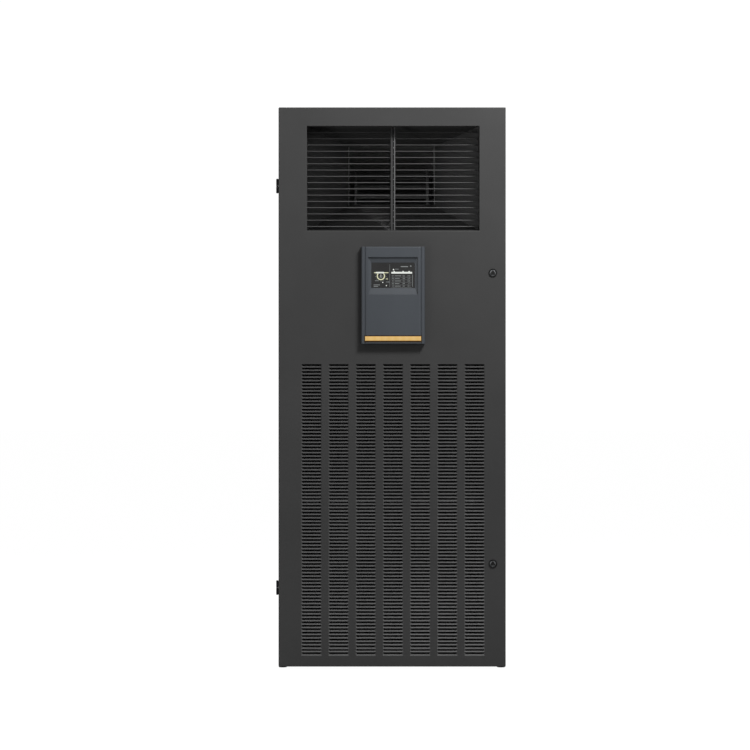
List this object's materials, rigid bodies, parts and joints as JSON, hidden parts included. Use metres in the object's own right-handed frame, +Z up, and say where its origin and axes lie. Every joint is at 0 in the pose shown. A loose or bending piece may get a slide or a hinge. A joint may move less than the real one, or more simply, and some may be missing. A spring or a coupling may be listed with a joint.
{
  "type": "computer room air conditioner",
  "caption": "Upright computer room air conditioner with louvred hinged door, tilting outlet blades, controller, blower, coil and compressor inside a charcoal steel cabinet.",
  "frame": {"origin": "middle of the footprint of the whole object at floor level, hinges and controller included", "axes": "+Z up, +Y to the back, +X to the right seen from the front; the door faces -Y"},
  "size_m": [0.7578, 0.585, 1.85],
  "materials": {
    "black_plastic": "black moulded plastic",
    "blade_paint": "satin black powder coat",
    "cabinet_paint": "fine-texture charcoal powder coat",
    "coil_fins": "aluminium fins",
    "compressor_black": "black enamel",
    "controller_plastic": "slate grey moulded plastic",
    "copper": "drawn copper",
    "dark_zinc": "black zinc-plated steel",
    "door_paint": "fine-texture charcoal powder coat",
    "filter_card": "dark card rim and pleated medium",
    "galvanised_steel": "galvanised sheet",
    "grey_plastic": "light grey moulded plastic",
    "light_bar_lens": "amber light bar lens",
    "motor_paint": "grey enamel",
    "red_plastic": "red moulded plastic",
    "screen_glass": "dark glossy screen",
    "seal_rubber": "black foam rubber",
    "white_plastic": "natural moulded plastic",
    "zinc_steel": "zinc-plated steel"
  },
  "bodies": {
    "cabinet": {"base_frame": "cabinet_paint", "base_panel": "galvanised_steel", "blower_bearings": "zinc_steel", "blower_housing": "galvanised_steel", "blower_motor": "motor_paint", "blower_rails": "galvanised_steel", "coil_tubing": "copper", "compressor": "compressor_black", "compressor_grommets": "seal_rubber", "corner_posts": "cabinet_paint", "door_gasket": "seal_rubber", "drain_pan": "galvanised_steel", "electrical_enclosure": "galvanised_steel", "evaporator_coil": "coil_fins", "filter_frame": "galvanised_steel", "floor_pads": "black_plastic", "grille_frame": "blade_paint", "grille_mullion": "blade_paint", "heater_elements": "zinc_steel", "hinge_frame_leaves": "dark_zinc", "humidifier_cylinder": "white_plastic", "left_side_panel": "cabinet_paint", "lock_post": "cabinet_paint", "main_switch_body": "black_plastic", "outlet_duct": "cabinet_paint", "rear_panel": "cabinet_paint", "refrigerant_pipes": "copper", "return_filters": "filter_card", "right_side_panel": "cabinet_paint", "switchgear": "grey_plastic", "top_panel": "cabinet_paint", "upper_front_panel": "cabinet_paint"},
    "front_door": {"door_skin": "door_paint", "door_louvre_insert": "door_paint", "hinge_door_leaves": "dark_zinc", "controller_housing": "controller_plastic", "controller_screen": "screen_glass", "controller_light_bar": "light_bar_lens", "lock_cases": "dark_zinc"},
    "lower_lock_cam": {"lower_lock_cam": "zinc_steel"},
    "upper_lock_cam": {"upper_lock_cam": "zinc_steel"},
    "blower_wheel": {"blower_wheel": "galvanised_steel"},
    "main_switch_knob": {"main_switch_knob": "red_plastic"},
    "blade_link_bar": {"blade_link_bar": "blade_paint"},
    "outlet_blade_01": {"outlet_blade_01": "blade_paint"},
    "outlet_blade_02": {"outlet_blade_02": "blade_paint"},
    "outlet_blade_03": {"outlet_blade_03": "blade_paint"},
    "outlet_blade_04": {"outlet_blade_04": "blade_paint"},
    "outlet_blade_05": {"outlet_blade_05": "blade_paint"},
    "outlet_blade_06": {"outlet_blade_06": "blade_paint"},
    "outlet_blade_07": {"outlet_blade_07": "blade_paint"},
    "outlet_blade_08": {"outlet_blade_08": "blade_paint"},
    "outlet_blade_09": {"outlet_blade_09": "blade_paint"},
    "outlet_blade_10": {"outlet_blade_10": "blade_paint"},
    "outlet_blade_11": {"outlet_blade_11": "blade_paint"},
    "outlet_blade_12": {"outlet_blade_12": "blade_paint"},
    "outlet_blade_13": {"outlet_blade_13": "blade_paint"},
    "outlet_blade_14": {"outlet_blade_14": "blade_paint"},
    "outlet_blade_15": {"outlet_blade_15": "blade_paint"},
    "outlet_blade_16": {"outlet_blade_16": "blade_paint"}
  },
  "joints": [
    {"name": "door_hinge", "type": "hinge", "parent": "cabinet", "child": "front_door", "pos_m": [-0.37485, -0.235, 0.265], "axis": [0, 0, -1], "range_deg": [0, 120]},
    {"name": "lower_lock_turn", "type": "hinge", "parent": "front_door", "child": "lower_lock_cam", "pos_m": [0.33585, -0.268, 0.346], "axis": [0, -1, 0], "range_deg": [0, 90]},
    {"name": "upper_lock_turn", "type": "hinge", "parent": "front_door", "child": "upper_lock_cam", "pos_m": [0.33585, -0.268, 1.304], "axis": [0, -1, 0], "range_deg": [0, 90]},
    {"name": "blower_spin", "type": "hinge", "parent": "cabinet", "child": "blower_wheel", "pos_m": [0.00385, 0.087, 1.545], "axis": [1, 0, 0], "continuous": true},
    {"name": "main_switch_turn", "type": "hinge", "parent": "cabinet", "child": "main_switch_knob", "pos_m": [0.23885, -0.1655, 1.238], "axis": [0, -1, 0], "range_deg": [0, 90]},
    {"name": "outlet_blade_01_tilt", "type": "hinge", "parent": "cabinet", "child": "outlet_blade_01", "pos_m": [0.00715, -0.2079, 1.459], "axis": [1, 0, 0], "range_deg": [-30, 30]},
    {"name": "outlet_blade_02_tilt", "type": "hinge", "parent": "cabinet", "child": "outlet_blade_02", "pos_m": [0.00715, -0.2079, 1.47975], "axis": [1, 0, 0], "range_deg": [-30, 30]},
    {"name": "outlet_blade_03_tilt", "type": "hinge", "parent": "cabinet", "child": "outlet_blade_03", "pos_m": [0.00715, -0.2079, 1.5005], "axis": [1, 0, 0], "range_deg": [-30, 30]},
    {"name": "outlet_blade_04_tilt", "type": "hinge", "parent": "cabinet", "child": "outlet_blade_04", "pos_m": [0.00715, -0.2079, 1.52125], "axis": [1, 0, 0], "range_deg": [-30, 30]},
    {"name": "outlet_blade_05_tilt", "type": "hinge", "parent": "cabinet", "child": "outlet_blade_05", "pos_m": [0.00715, -0.2079, 1.542], "axis": [1, 0, 0], "range_deg": [-30, 30]},
    {"name": "outlet_blade_06_tilt", "type": "hinge", "parent": "cabinet", "child": "outlet_blade_06", "pos_m": [0.00715, -0.2079, 1.56275], "axis": [1, 0, 0], "range_deg": [-30, 30]},
    {"name": "outlet_blade_07_tilt", "type": "hinge", "parent": "cabinet", "child": "outlet_blade_07", "pos_m": [0.00715, -0.2079, 1.5835], "axis": [1, 0, 0], "range_deg": [-30, 30]},
    {"name": "outlet_blade_08_tilt", "type": "hinge", "parent": "cabinet", "child": "outlet_blade_08", "pos_m": [0.00715, -0.2079, 1.60425], "axis": [1, 0, 0], "range_deg": [-30, 30]},
    {"name": "outlet_blade_09_tilt", "type": "hinge", "parent": "cabinet", "child": "outlet_blade_09", "pos_m": [0.00715, -0.2079, 1.625], "axis": [1, 0, 0], "range_deg": [-30, 30]},
    {"name": "outlet_blade_10_tilt", "type": "hinge", "parent": "cabinet", "child": "outlet_blade_10", "pos_m": [0.00715, -0.2079, 1.64575], "axis": [1, 0, 0], "range_deg": [-30, 30]},
    {"name": "outlet_blade_11_tilt", "type": "hinge", "parent": "cabinet", "child": "outlet_blade_11", "pos_m": [0.00715, -0.2079, 1.6665], "axis": [1, 0, 0], "range_deg": [-30, 30]},
    {"name": "outlet_blade_12_tilt", "type": "hinge", "parent": "cabinet", "child": "outlet_blade_12", "pos_m": [0.00715, -0.2079, 1.68725], "axis": [1, 0, 0], "range_deg": [-30, 30]},
    {"name": "outlet_blade_13_tilt", "type": "hinge", "parent": "cabinet", "child": "outlet_blade_13", "pos_m": [0.00715, -0.2079, 1.708], "axis": [1, 0, 0], "range_deg": [-30, 30]},
    {"name": "outlet_blade_14_tilt", "type": "hinge", "parent": "cabinet", "child": "outlet_blade_14", "pos_m": [0.00715, -0.2079, 1.72875], "axis": [1, 0, 0], "range_deg": [-30, 30]},
    {"name": "outlet_blade_15_tilt", "type": "hinge", "parent": "cabinet", "child": "outlet_blade_15", "pos_m": [0.00715, -0.2079, 1.7495], "axis": [1, 0, 0], "range_deg": [-30, 30]},
    {"name": "outlet_blade_16_tilt", "type": "hinge", "parent": "cabinet", "child": "outlet_blade_16", "pos_m": [0.00715, -0.2079, 1.77025], "axis": [1, 0, 0], "range_deg": [-30, 30]},
    {"name": "link_bar_pivot", "type": "hinge", "parent": "outlet_blade_01", "child": "blade_link_bar", "pos_m": [0.00715, -0.1969, 1.459], "axis": [1, 0, 0], "range_deg": [-30, 30]}
  ],
  "couplings": [
    {"joint": "outlet_blade_02_tilt", "follows": "outlet_blade_01_tilt", "ratio": 1},
    {"joint": "outlet_blade_03_tilt", "follows": "outlet_blade_01_tilt", "ratio": 1},
    {"joint": "outlet_blade_04_tilt", "follows": "outlet_blade_01_tilt", "ratio": 1},
    {"joint": "outlet_blade_05_tilt", "follows": "outlet_blade_01_tilt", "ratio": 1},
    {"joint": "outlet_blade_06_tilt", "follows": "outlet_blade_01_tilt", "ratio": 1},
    {"joint": "outlet_blade_07_tilt", "follows": "outlet_blade_01_tilt", "ratio": 1},
    {"joint": "outlet_blade_08_tilt", "follows": "outlet_blade_01_tilt", "ratio": 1},
    {"joint": "outlet_blade_09_tilt", "follows": "outlet_blade_01_tilt", "ratio": 1},
    {"joint": "outlet_blade_10_tilt", "follows": "outlet_blade_01_tilt", "ratio": 1},
    {"joint": "outlet_blade_11_tilt", "follows": "outlet_blade_01_tilt", "ratio": 1},
    {"joint": "outlet_blade_12_tilt", "follows": "outlet_blade_01_tilt", "ratio": 1},
    {"joint": "outlet_blade_13_tilt", "follows": "outlet_blade_01_tilt", "ratio": 1},
    {"joint": "outlet_blade_14_tilt", "follows": "outlet_blade_01_tilt", "ratio": 1},
    {"joint": "outlet_blade_15_tilt", "follows": "outlet_blade_01_tilt", "ratio": 1},
    {"joint": "outlet_blade_16_tilt", "follows": "outlet_blade_01_tilt", "ratio": 1},
    {"joint": "link_bar_pivot", "follows": "outlet_blade_01_tilt", "ratio": -1}
  ]
}
